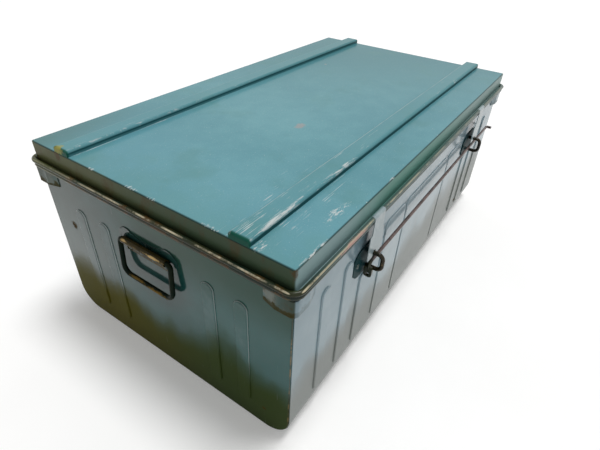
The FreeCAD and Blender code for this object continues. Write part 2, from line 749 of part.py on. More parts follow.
# Hinges: cranked leaves whose knuckles share a pin behind the beads
def hinge_leaf(plate_at, level, plate_end, fingers, spots):
    # plate_at is the wall the leaf lies on, level the crank's side next to the beads.
    step = hinge_sheet if plate_end > level else -hinge_sheet
    near = hinge_out - hinge_knuckle_r
    plate_low, plate_high = sorted((level, plate_end))
    crank_low, crank_high = sorted((level, level + step))
    riser_low, riser_high = sorted((level + step, parting))
    pieces = [block(-hinge_half, hinge_half, -plate_at - hinge_sheet, -plate_at, plate_low, plate_high)]
    for u0, u1 in fingers:
        pieces.append(block(u0, u1, -near - hinge_sheet, -plate_at, crank_low, crank_high))
        pieces.append(block(u0, u1, -near - hinge_sheet, -near, riser_low, riser_high))
        pieces.append(rod(V(u0, -hinge_out, parting), V(u1, -hinge_out, parting), hinge_knuckle_r))
    bore_r = hinge_pin_diameter / 2 + hinge_fit
    bore = rod(V(-hinge_width, -hinge_out, parting), V(hinge_width, -hinge_out, parting), bore_r)
    return fused(pieces).cut(bore).cut(rivet_holes(spots, plate_at + 2 * hinge_sheet, plate_at - sheet))


def hinge_pin():
    ends = [V(side * hinge_half, -hinge_out, parting) for side in (-1, 1)]
    pieces = [rod(*ends, hinge_pin_diameter / 2)]
    for side, near in zip((-1, 1), ends):
        pieces.append(rod(near, near + V(side * hinge_pin_head_height, 0, 0), hinge_pin_head / 2))
    return fused(pieces)


lid_finger = hinge_finger / 2
body_finger = lid_finger + hinge_end_gap
lid_fingers = [(-lid_finger, lid_finger)]
body_fingers = [(-hinge_half, -body_finger), (body_finger, hinge_half)]
lid_leaf = hinge_leaf(lid_y, lid_crank, lid_leaf_top, lid_fingers, hinge_lid_spots)
body_leaf = hinge_leaf(body_y, body_crank, body_leaf_foot, body_fingers, hinge_body_spots)
hinge_pieces = {"hinge_lid_leaf": lid_leaf, "hinge_body_leaf": body_leaf, "hinge_pin": hinge_pin()}
hinge_grip = hinge_sheet + sheet
lid_rivets = []
body_rivets = []
for end, side in (("left", -1), ("right", 1)):
    place = V(side * hinge_x, 0, 0)
    for name, shape in hinge_pieces.items():
        placed = facing(shape, BACK)
        placed.translate(place)
        nodes[f"{name}_{end}"] = placed
    for u, w in moved(hinge_lid_spots, side * hinge_x):
        lid_rivets.append(facing(rivet(u, w, lid_y + hinge_sheet, hinge_grip), BACK))
    for u, w in moved(hinge_body_spots, side * hinge_x):
        body_rivets.append(facing(rivet(u, w, body_y + hinge_sheet, hinge_grip), BACK))
nodes["hinge_lid_rivets"] = Part.makeCompound(lid_rivets)
nodes["hinge_body_rivets"] = Part.makeCompound(body_rivets)

os.makedirs("parts", exist_ok=True)
for name, shape in nodes.items():
    shape.exportStep(f"parts/{name}.step")
    volume = sum(solid.Volume for solid in shape.Solids)
    print(f"{name}: {len(shape.Solids)} solid(s), {volume / 1000:.1f} cm3, valid {shape.isValid()}")
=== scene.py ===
import math
import bmesh
import bpy
from mathutils import Matrix, Vector


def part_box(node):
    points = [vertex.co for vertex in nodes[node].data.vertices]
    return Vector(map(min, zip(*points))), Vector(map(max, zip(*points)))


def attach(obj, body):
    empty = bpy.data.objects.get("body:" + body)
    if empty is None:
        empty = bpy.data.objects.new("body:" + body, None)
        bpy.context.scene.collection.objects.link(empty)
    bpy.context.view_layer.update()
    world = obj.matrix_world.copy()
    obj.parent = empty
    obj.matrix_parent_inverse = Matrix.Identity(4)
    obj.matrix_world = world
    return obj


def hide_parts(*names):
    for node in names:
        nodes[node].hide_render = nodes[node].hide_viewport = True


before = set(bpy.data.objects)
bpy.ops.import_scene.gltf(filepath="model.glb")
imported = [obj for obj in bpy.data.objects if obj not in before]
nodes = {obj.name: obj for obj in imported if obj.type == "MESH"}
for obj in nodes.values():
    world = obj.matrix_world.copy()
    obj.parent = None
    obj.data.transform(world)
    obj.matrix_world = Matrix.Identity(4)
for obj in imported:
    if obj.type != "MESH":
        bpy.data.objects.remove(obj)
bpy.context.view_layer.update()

print("frame loaded:", len(nodes), "nodes")

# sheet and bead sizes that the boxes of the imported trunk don't show, in metres
gauge = {
    "sheet": 0.001,
    "bead": 0.00375,        # outer radius of a rolled edge
    "beadLift": 0.0006,
    "rimReach": 0.01075,    # rolled edge out from the lid's skirt
    "lidStep": 0.001,
    "lap": 0.0001,
    "bailDrop": 0.026,      # middle of a bail's loop down to its grip
}

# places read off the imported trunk
lidLow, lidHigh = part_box("lid_shell")
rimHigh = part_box("body_rim")[1]
battenLow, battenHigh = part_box("batten_front")
lidTop, battenTop = battenLow.z, battenHigh.z
ringShift = lidHigh.x - lidHigh.y       # the ends stand this much further out than the long walls
lidBeadOut = lidHigh.y - gauge["bead"]
lidBeadZ = lidLow.z + gauge["beadLift"] + gauge["bead"]
bodyBeadOut = rimHigh.y - gauge["bead"]
bodyBeadZ = rimHigh.z - gauge["bead"]
skirtOut = lidHigh.y - gauge["rimReach"]
wallOut = skirtOut - gauge["lidStep"]
battenY = (battenLow.y + battenHigh.y) / 2
battenHalf = (battenHigh.y - battenLow.y) / 2
endX = battenHigh.x
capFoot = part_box("rim_corner_front_left")[0].z
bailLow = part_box("handle_bail_left")[0]
keeperLow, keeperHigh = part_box("handle_keeper_left")
handleZ = bailLow.z + gauge["bailDrop"]


# one value over a surface or a path, so that node maths reads as Python
class Field:
    def __init__(self, owner, socket):
        self.owner = owner
        self.socket = socket

    def calc(self, operation, *terms):
        return self.owner.add("ShaderNodeMath", {"operation": operation}, dict(enumerate(terms)))

    def __add__(self, other):
        return self.calc("ADD", self, other)

    def __radd__(self, other):
        return self.calc("ADD", other, self)

    def __sub__(self, other):
        return self.calc("SUBTRACT", self, other)

    def __rsub__(self, other):
        return self.calc("SUBTRACT", other, self)

    def __mul__(self, other):
        return self.calc("MULTIPLY", self, other)

    def __rmul__(self, other):
        return self.calc("MULTIPLY", other, self)

    def __pow__(self, other):
        return self.calc("POWER", self, other)

    def __abs__(self):
        return self.calc("ABSOLUTE", self)

    def over(self, other):
        return self.calc("MAXIMUM", self, other)


# any tree of nodes: one method adds a node with its settings, then its sockets
class NodeMaker:
    def __init__(self, tree):
        self.tree = tree

    def add(self, kind, settings, sockets, output=0):
        node = self.tree.nodes.new(kind)
        for name, value in settings.items():
            setattr(node, name, value)
        for key, value in sockets.items():
            if isinstance(value, Field):
                self.tree.links.new(value.socket, node.inputs[key])
            else:
                node.inputs[key].default_value = value
        return Field(self, node.outputs[output]) if len(node.outputs) else node

    # 1 where the eye looks at it, straight or by way of a polished or clear surface
    def seen(self):
        kinds = ("Camera", "Glossy", "Transmission")
        rays = [self.add("ShaderNodeLightPath", {}, {}, f"Is {kind} Ray") for kind in kinds]
        return rays[0].over(rays[1]).over(rays[2])


# a material being mixed
class Paint(NodeMaker):
    def __init__(self, name):
        self.material = bpy.data.materials.new(name)
        self.material.use_nodes = True
        super().__init__(self.material.node_tree)
        self.tree.nodes.clear()
        self.place = self.add("ShaderNodeTexCoord", {}, {}, "Object")
        self.x, self.y, self.z = (
            self.add("ShaderNodeSeparateXYZ", {}, {"Vector": self.place}, axis) for axis in "XYZ"
        )
        self.out = (abs(self.x) - ringShift).over(abs(self.y))   # from the middle, square to any wall

    def noise(self, scale, detail=3.0, roughness=0.55, stretch=None, turn=0.0, shift=0.0):
        where = self.place
        if stretch or turn or shift:
            where = self.add("ShaderNodeMapping", {}, {
                "Vector": where,
                "Location": (shift, shift * 0.7, shift * 0.4),
                "Rotation": (0.0, 0.0, turn),
                "Scale": stretch or (1.0, 1.0, 1.0),
            })
        return self.add("ShaderNodeTexNoise", {}, {
            "Vector": where, "Scale": scale, "Detail": detail, "Roughness": roughness,
        })

    # 0 below low, 1 above high
    def band(self, value, low, high):
        return self.add("ShaderNodeMapRange", {"interpolation_type": "SMOOTHSTEP"}, {
            0: value, 1: low, 2: high, 3: 0.0, 4: 1.0,
        })

    # 1 below low, 0 above high
    def fade(self, value, low, high):
        return 1 - self.band(value, low, high)

    # soft noise, which keeps to the middle, opened out to 0 and 1
    def spread(self, value):
        return self.band(value, 0.38, 0.62)

    def blend(self, share, first, second):
        pair = [value if isinstance(value, Field) else (*value, 1.0) for value in (first, second)]
        return self.add("ShaderNodeMix", {"data_type": "RGBA"}, {0: share, 6: pair[0], 7: pair[1]}, 2)

    # ragged patch round a point, with its own half sizes along X, Y and Z
    def patch(self, point, sizes, ragged, tear=1.6, core=0.45):
        offset = self.add("ShaderNodeVectorMath", {"operation": "SUBTRACT"}, {0: self.place, 1: point})
        scaled = self.add("ShaderNodeVectorMath", {"operation": "DIVIDE"}, {0: offset, 1: sizes})
        gap = self.add("ShaderNodeVectorMath", {"operation": "LENGTH"}, {0: scaled}, "Value")
        return self.fade(gap + (ragged - 0.5) * tear, core, 1.0)

    def patches(self, places, ragged):
        mask = self.patch(*places[0], ragged)
        for place in places[1:]:
            mask = mask.over(self.patch(*place, ragged))
        return mask

    # soft line all round the trunk
    def along(self, outAt, zAt, width):
        gap = ((self.out - outAt) ** 2 + (self.z - zAt) ** 2) ** 0.5
        return self.fade(gap, 0.0, width)

    # colour coat under clear gloss; the gloss can be worn away
    def finish(self, colour, roughness, metallic, height, gloss=0.0, look=None):
        look = {"ior": 1.5, "glossIor": 1.5, "glossRoughness": 0.1, **(look or {})}
        bump = self.add("ShaderNodeBump", {}, {"Strength": 1.0, "Distance": 1.0, "Height": height}, "Normal")
        shader = self.add("ShaderNodeBsdfPrincipled", {}, {
            "Base Color": colour, "Roughness": roughness, "Metallic": metallic, "IOR": look["ior"],
            "Normal": bump, "Coat Weight": gloss, "Coat IOR": look["glossIor"],
            "Coat Roughness": look["glossRoughness"],
        })
        self.add("ShaderNodeOutputMaterial", {}, {"Surface": shader})
        return self.material


# where a change starts and ends, measured from an edge
def beside(edge, offsets):
    return [edge + offset for offset in offsets]


print("paint tools ready")

# dark enamel, and what shows where it has worn off the rolled edges
enamel = {
    "deep": (0.009, 0.022, 0.013),
    "olive": (0.026, 0.031, 0.011),
    "brown": (0.075, 0.040, 0.010),
    "moss": (0.084, 0.092, 0.026),
    "teal": (0.095, 0.150, 0.140),
    "brass": (0.640, 0.570, 0.400),
    "ochre": (0.230, 0.160, 0.060),
    "chalk": (0.600, 0.640, 0.630),
    "pink": (0.500, 0.300, 0.250),
}


# in these dictionaries a pair named for an axis is where a change along it starts and ends, and a pair named
# From is the same, measured from the nearest edge
beadLook = {
    "leftX": (-0.47, -0.36),
    "mossY": (0.10, 0.26),
    "lineOut": 0.62,         # of the bead's radius
    "lineUp": 0.78,
    "lineWidth": 0.0019,
}


# dark rolled edge: browner along the left end, mossy towards the back, teal elsewhere
def beadTone(paint, shift):
    leftShare = paint.fade(paint.x, *beadLook["leftX"])
    patchy = paint.band(paint.noise(14, 3, 0.6, shift=shift), 0.40, 0.60)
    tone = paint.blend(patchy, enamel["deep"], enamel["olive"])
    stain = paint.band(paint.noise(30, 4, 0.65, shift=shift + 3) + leftShare * 0.05, 0.56, 0.66)
    tone = paint.blend(stain * (leftShare * 0.75 + 0.15), tone, enamel["brown"])
    tone = paint.blend(leftShare * paint.band(paint.y, *beadLook["mossY"]) * 0.8, tone, enamel["moss"])
    return paint.blend((1 - leftShare) * 0.7, tone, enamel["teal"])


# bare-metal wear and a painted highlight along the bead's upper outer side, in long broken lines
def beadWearAndHighlight(paint, outAt, zAt, shift):
    lineOut, lineUp = (gauge["bead"] * beadLook[way] for way in ("lineOut", "lineUp"))
    line = paint.along(outAt + lineOut, zAt + lineUp, beadLook["lineWidth"])
    return paint.band(line, 0.1, 0.6) * paint.band(paint.noise(24, 5, 0.7, shift=shift), 0.38, 0.56)


# waves of the thin sheet, orange peel of the enamel
def sheetHeight(paint, wave, peel):
    return (paint.noise(4.2, 2, 0.4) - 0.5) * wave + paint.noise(240, 2, 0.5) * peel


# a mark is a place, then half sizes along X, Y and Z
lidLook = {
    "deep": (0.094, 0.272, 0.316),
    "pale": (0.138, 0.340, 0.380),
    "far": (0.058, 0.204, 0.230),
    "left": (0.160, 0.376, 0.462),
    "moss": (0.080, 0.232, 0.218),
    "shadow": (0.050, 0.120, 0.100),
    # a painted shade line along the bend into the skirt
    "edge": (0.008, 0.034, 0.030),
    # skirt colours: painted light on the front ones, painted shade on the left ones
    "frontNear": (0.230, 0.340, 0.345),
    "frontMid": (0.110, 0.270, 0.225),
    "frontFar": (0.220, 0.330, 0.312),
    "leftNear": (0.044, 0.074, 0.040),
    "leftFar": (0.098, 0.108, 0.044),
    "ior": 1.15,
    "glossIor": 1.5,
    "glossRoughness": 0.12,
    "wave": 0.0022,
    "peel": 0.000012,
    "farX": (-0.15, 0.50),
    "farLean": 0.6,
    "leftX": (-0.46, -0.20),
    "mossX": (-0.46, -0.36),
    "shadowX": (-0.44, -0.16),
    "shadowY": (0.165, 0.245),
    "scratchGrain": (13.0, 520.0, 50.0),
    "scratchTurn": 0.05,
    "scratchX": (-0.44, 0.10),
    "frontReach": 0.055,
    "rearReach": 0.035,
    "footGap": 0.0016,
    "footLine": (0.0004, 0.0022),
    "footX": (-0.42, 0.10),
    "plateFrom": (-0.0012, -0.0004),
    "endFrom": (-0.002, 0.0),
    "frontMidX": (-0.40, -0.18),
    "frontFarX": (-0.08, 0.24),
    "leftFarY": (-0.16, 0.22),
    "lipInset": 0.0004,
    "lipDrop": 0.0007,
    "lipWidth": 0.0024,
    "lipMossFrom": (0.004, 0.012),
    "lipMossY": (-0.06, 0.16),
    "fringeInset": 0.0016,
    "fringeWidth": 0.004,
    "beadFrom": (-0.001, 0.001),
    "wearBackY": (0.02, 0.20),
    "wearCornerX": (-0.46, -0.40),
    "wearFrontX": (-0.30, 0.10),
    "cornerStain": ((-endX, -skirtOut, lidTop - 0.007), (0.006, 0.006, 0.010)),
    "rearStain": ((-endX, 0.187, lidTop - 0.006), (0.004, 0.009, 0.010)),
    "primerStreak": ((-0.335, -lidBeadOut - 0.003, lidBeadZ), (0.045, 0.006, 0.005)),
    "stains": [
        ((-0.137, -0.044, lidTop), (0.016, 0.010, 0.004)),
        ((0.215, 0.118, lidTop), (0.004, 0.004, 0.004)),
    ],
    "chips": [
        ((-0.4545, 0.020, lidTop), (0.004, 0.018, 0.002)),
        ((-0.4550, -0.024, lidTop), (0.003, 0.012, 0.002)),
        ((-0.4540, -0.128, lidTop), (0.004, 0.014, 0.002)),
        ((-0.4555, 0.105, lidTop), (0.003, 0.008, 0.002)),
        ((-0.4180, -0.2545, lidTop), (0.034, 0.003, 0.003)),
        ((-0.3300, -0.2350, lidTop), (0.034, 0.008, 0.003)),
        ((-0.2059, -0.2560, lidTop), (0.014, 0.003, 0.004)),
        ((-0.4470, -0.1985, lidTop), (0.014, 0.008, 0.004)),
    ],
}


# the plate's paint, which the battens share: mottled, darker towards the far corner and paler towards the
# left, with painted shade at its back left
def lidSurface(paint, look):
    cloud = paint.noise(2.4, 3, 0.5)
    mottle = paint.noise(30, 4, 0.6)
    grain = paint.noise(420, 3, 0.6)
    tone = paint.spread(cloud * 0.60 + mottle * 0.20 + grain * 0.20)
    colour = paint.blend(tone, look["deep"], look["pale"])
    farShare = paint.band(paint.x + paint.y * look["farLean"], *look["farX"])
    colour = paint.blend(farShare, colour, look["far"])
    colour = paint.blend(paint.fade(paint.x, *look["leftX"]) * 0.30, colour, look["left"])
    fleck = paint.band(paint.noise(520, 2, 0.5, shift=5), 0.66, 0.74)
    colour = paint.blend(fleck * 0.28, colour, enamel["chalk"])
    greener = paint.band(paint.noise(9, 4, 0.6, shift=8), 0.52, 0.70)
    leftEdge = paint.fade(paint.x - (mottle - 0.5) * 0.2, *look["mossX"])
    colour = paint.blend((greener + leftEdge) * 0.34, colour, look["moss"])
    # painted shade over the back left of the plate
    backLeftShade = paint.band(paint.y, *look["shadowY"]) * paint.fade(paint.x, *look["shadowX"])
    return paint.blend(backLeftShade * 0.55, colour, look["shadow"])


# fine pale lines along the lid, most of them by the left ends of the battens
def lidScratches(paint, look):
    grain = paint.noise(1.0, 4, 0.6, stretch=look["scratchGrain"], turn=look["scratchTurn"])
    gate = paint.noise(26, 3, 0.6, shift=4)
    frontZone = paint.fade(abs(paint.y - battenY) - battenHalf, 0.0, look["frontReach"])
    rearZone = paint.fade(abs(paint.y + battenY) - battenHalf, 0.0, look["rearReach"])
    leftShare = paint.fade(paint.x, *look["scratchX"])
    zone = (frontZone + rearZone * 0.6) * (leftShare * 0.8 + 0.2)
    return paint.band(grain * 0.62 + gate * 0.38 + zone * 0.07, 0.635, 0.70) * (zone * 0.65 + 0.12)


# paint scraped off the plate along the front foot of the rear batten, towards the left
def battenFoot(paint, look):
    line = paint.fade(abs(paint.y + battenY + battenHalf + look["footGap"]), *look["footLine"])
    broken = paint.noise(1.0, 4, 0.65, stretch=(16.0, 240.0, 240.0), shift=6)
    leftShare = paint.fade(paint.x, *look["footX"])
    return line * paint.band(broken + leftShare * 0.12, 0.58, 0.70) * (leftShare * 0.6 + 0.2)


# the skirt: painted light on its front and painted shade on its ends, from one enamel; the front changes
# along X, palest near the corner and at the far end, the ends along Y, with brown grime
def lidSkirt(paint, look, smear):
    alongFront = paint.x + (smear - 0.5) * 0.16
    front = paint.blend(paint.band(alongFront, *look["frontMidX"]), look["frontNear"], look["frontMid"])
    front = paint.blend(paint.band(alongFront, *look["frontFarX"]), front, look["frontFar"])
    alongLeft = paint.y + (smear - 0.5) * 0.2
    left = paint.blend(paint.band(alongLeft, *look["leftFarY"]), look["leftNear"], look["leftFar"])
    grimy = paint.band(paint.noise(26, 5, 0.7, stretch=(1.0, 1.0, 0.6), shift=9), 0.50, 0.66)
    left = paint.blend(grimy * 0.5, left, enamel["brown"])
    return paint.blend(paint.band(abs(paint.x), *beside(endX, look["endFrom"])), front, left)


# flaked paint: at set places, by the rear batten's foot, and here and there along the edge of the plate
def lidChips(paint, look, ragged, flat):
    flake = paint.band(paint.noise(1.0, 5, 0.7, stretch=(90.0, 420.0, 420.0), shift=1), 0.46, 0.60)
    chip = paint.patches(look["chips"], ragged) * flake
    chip = chip.over(battenFoot(paint, look) * flat)
    fringe = paint.along(skirtOut - look["fringeInset"], lidTop, look["fringeWidth"])
    return chip.over(paint.band(fringe * 0.26 + paint.noise(80, 4, 0.65, shift=3), 0.86, 0.94) * flake)


def lidEnamel(look):
    paint = Paint("lid_enamel")
    smear = paint.noise(7, 4, 0.6, shift=2)
    ragged = paint.noise(150, 4, 0.7)
    flat = paint.band(paint.z, *beside(lidTop, look["plateFrom"]))     # 1 on the plate, 0 down the skirt
    scratch = lidScratches(paint, look) * flat
    colour = paint.blend(scratch, lidSurface(paint, look), enamel["chalk"])
    colour = paint.blend(1 - flat, colour, lidSkirt(paint, look, smear))
    # the bend into the skirt is painted dark, a painted shade line along the edge, mossy in places on the
    # left, with chips behind it
    lip = paint.along(skirtOut - look["lipInset"], lidTop - look["lipDrop"], look["lipWidth"])
    colour = paint.blend(lip * 0.9, colour, look["edge"])
    leftLip = lip * paint.fade(paint.x, *beside(-endX, look["lipMossFrom"]))
    leftLip = leftLip * paint.band(paint.y, *look["lipMossY"])
    colour = paint.blend(leftLip * paint.band(smear, 0.42, 0.60) * 0.7, colour, enamel["moss"])
    chip = lidChips(paint, look, ragged, flat)
    colour = paint.blend(chip * 0.9, colour, enamel["chalk"])
    colour = paint.blend(paint.patch(*look["cornerStain"], ragged) * 0.7, colour, enamel["brown"])
    # the rolled edge, worn and with a painted highlight, most along the left end
    bead = paint.band(paint.out, *beside(lidBeadOut - gauge["bead"], look["beadFrom"]))
    colour = paint.blend(bead, colour, beadTone(paint, 2))
    wearAndHighlight = beadWearAndHighlight(paint, lidBeadOut, lidBeadZ, 0) * (1 - paint.band(paint.y, *look["wearBackY"]) * 0.75)
    pastCorner, alongFront = (paint.band(paint.x, *look[zone]) for zone in ("wearCornerX", "wearFrontX"))
    wearAndHighlight = wearAndHighlight * (1 - pastCorner * 0.35 - alongFront * 0.40)
    colour = paint.blend(wearAndHighlight * 0.85, colour, enamel["brass"])
    colour = paint.blend(paint.patch(*look["primerStreak"], ragged) * 0.8, colour, enamel["pink"])
    stain = paint.patches(look["stains"], ragged) * flat
    colour = paint.blend(stain * 0.4, colour, enamel["pink"])
    colour = paint.blend(paint.patch(*look["rearStain"], ragged) * 0.8, colour, enamel["brown"])
    roughness = 0.40 + scratch * 0.2 - bead * 0.1
    gloss = (0.08 + flat * 0.20).over(bead * 0.22) * (1 - chip * 0.6) * (1 - stain * 0.5)
    height = sheetHeight(paint, look["wave"], look["peel"]) - (scratch + chip) * 0.00005
    return paint.finish(colour, roughness, 0.0, height, gloss, look)


battenLook = {
    "top": (0.086, 0.250, 0.270),
    # painted shade on the battens' sides, lighter by the rear batten's foot
    "side": (0.012, 0.080, 0.088),
    "foot": (0.076, 0.225, 0.250),
    "end": (0.008, 0.085, 0.058),
    "blob": (0.300, 0.290, 0.070),
    "blobAt": ((-endX, -battenY + 0.006, battenTop - 0.004), (0.012, 0.014, 0.010)),
    "sideFrom": (-0.0056, -0.0030),
    "footFrom": (0.0010, 0.0055),
    "footY": (-0.05, 0.05),
    "tipFrom": (-0.0050, -0.0015),
    "rubInset": 0.0022,
    "frontRub": (0.0012, 0.0044),
    "rearRub": (0.0006, 0.0026),
    "rubX": (-0.36, -0.05),
    "backInset": 0.0020,
    "backRub": (0.0006, 0.0022),
    "ior": 1.15,
    "glossIor": 1.5,
    "glossRoughness": 0.16,
    "wave": 0.0006,
    "peel": 0.000012,
}


def battenEnamel(look):
    paint = Paint("batten_enamel")
    colour = paint.blend(0.45, lidSurface(paint, lidLook), look["top"])
    scratch = lidScratches(paint, lidLook)
    colour = paint.blend(scratch * 0.8, colour, enamel["chalk"])
    # painted shade: the batten's sides dark, paler near the foot of the rear batten
    side = paint.fade(paint.z, *beside(battenTop, look["sideFrom"]))
    foot = paint.fade(paint.z, *beside(lidTop, look["footFrom"])) * paint.band(paint.y, *look["footY"])
    colour = paint.blend(side, colour, paint.blend(foot, look["side"], look["foot"]))
    tip = paint.band(abs(paint.x), *beside(endX, look["tipFrom"]))
    colour = paint.blend(tip, colour, look["end"])
    # the front edge of each batten is rubbed bright, most of all near its left end
    fromFront = abs(paint.y - battenY + battenHalf - look["rubInset"])
    fromRear = abs(paint.y + battenY + battenHalf - look["rubInset"])
    scuffed = paint.band(paint.noise(48, 4, 0.7, shift=2), 0.44, 0.60)
    rearRub = paint.fade(fromRear, *look["rearRub"]) * scuffed
    edge = paint.fade(fromFront, *look["frontRub"]).over(rearRub * 0.6)
    leftShare = paint.fade(paint.x, *look["rubX"])
    broken = paint.noise(1.0, 5, 0.7, stretch=(40.0, 330.0, 330.0))
    gate = paint.noise(20, 3, 0.6, shift=4)
    rub = edge * (1 - side) * paint.band(broken * 0.7 + gate * 0.5 + leftShare * 0.10, 0.66, 0.78) * (1 - tip)
    colour = paint.blend(rub * 0.9, colour, enamel["chalk"])
    # and the front batten's back edge faintly, all along
    fromBack = abs(paint.y - battenY - battenHalf + look["backInset"])
    backLine = paint.fade(fromBack, *look["backRub"]) * (1 - side) * paint.band(broken + gate, 0.86, 1.06)
    colour = paint.blend(backLine * 0.35, colour, enamel["chalk"])
    blob = paint.patch(*look["blobAt"], paint.noise(120, 4, 0.65))
    colour = paint.blend(blob, colour, look["blob"])
    roughness = 0.40 + rub * 0.15 + scratch * 0.2
    height = sheetHeight(paint, look["wave"], look["peel"]) - rub * 0.00005
    gloss = 0.04 + (1 - side) * (1 - tip) * (1 - edge * 0.8) * 0.22
    return paint.finish(colour, roughness, 0.0, height, gloss, look)


# how far a pressing stands out: where its steep side starts, where that ends, where its crest starts
pressing = {
    "sideFrom": (0.00005, 0.0003),
    "sideTo": (0.0012, 0.0022),
    "crestFrom": (0.0016, 0.0022),
    "brightY": (-0.06, 0.06),
}
# the wrap's open edge beside each end
seamLook = {"wallFrom": (-0.0030, -0.0012), "endFrom": (-0.004, -0.002)}


def pressed(paint, stage):
    return paint.band(paint.out, *beside(wallOut, pressing[stage]))


# long walls painted pale and ends painted dark: painted light and painted shade on one enamel; dirt over the
# feet of all of them, on the ends with painted shade
wallLook = {
    "deep": (0.162, 0.258, 0.300),
    "pale": (0.214, 0.312, 0.355),
    # painted highlight on the pressings' steep sides, and on their rubbed crests
    "side": (0.480, 0.580, 0.620),
    "rubbedAndHighlight": (0.240, 0.330, 0.370),
    "crest": 0.15,
    "dirtAndShade": (0.200, 0.176, 0.128),
    "dirtAndShadeTop": 0.145,
    "dirtAndShadeFrom": (-0.045, 0.055),
    "dirtAndShadeTilt": 0.0,
    "dirtAndShadeWaves": 0.20,
    "dirtAndShadeShare": 0.62,
    "ior": 1.3,
    "glossIor": 1.5,
    "glossRoughness": 0.12,
    "wave": 0.0022,
    "peel": 0.000010,
    "rust": [((0.30, -wallOut, 0.06), (0.010, 0.004, 0.006))],
}
endLook = {
    "deep": (0.003, 0.048, 0.045),
    "pale": (0.009, 0.088, 0.086),
    # the ends' painted light and shade: warm, cool, under the rim and round the handle
    "warm": (0.070, 0.082, 0.068),
    "warmY": (-0.02, 0.20),
    "cool": (0.004, 0.135, 0.126),
    "coolY": (-0.16, -0.02),
    "underRimShade": (0.012, 0.046, 0.018),
    "underRimZ": (0.20, 0.29),
    "underRimY": (0.00, 0.12),
    "handleShade": (0.003, 0.018, 0.013),
    "handleShadeReach": (0.045, 0.095),
    # painted highlight on the pressings' steep sides, and on their rubbed crests
    "side": (0.620, 0.700, 0.690),
    "rubbedAndHighlight": (0.100, 0.165, 0.170),
    "crest": 0.30,
    "dirtAndShade": (0.036, 0.058, 0.012),
    "dirtAndShadeBack": (0.088, 0.080, 0.008),
    "dirtAndShadeBackY": (-0.14, 0.16),
    "dirtAndShadeRight": (0.044, 0.048, 0.022),
    "dirtAndShadeRightX": (-0.10, 0.10),
    "dirtAndShadeTop": 0.118,
    "dirtAndShadeFrom": (-0.045, 0.055),
    "dirtAndShadeTilt": 0.05,
    "dirtAndShadeWaves": 0.20,
    "dirtAndShadeShare": 1.0,
    "ior": 1.1,
    "glossIor": 1.46,
    "glossRoughness": 0.10,
    "wave": 0.0042,
    "peel": 0.000010,
    "rust": [
        ((-0.457, 0.204, 0.212), (0.006, 0.009, 0.010)),
        ((-0.457, 0.2325, 0.292), (0.006, 0.004, 0.005)),
        ((-0.457, -0.210, 0.045), (0.006, 0.005, 0.004)),
    ],
}


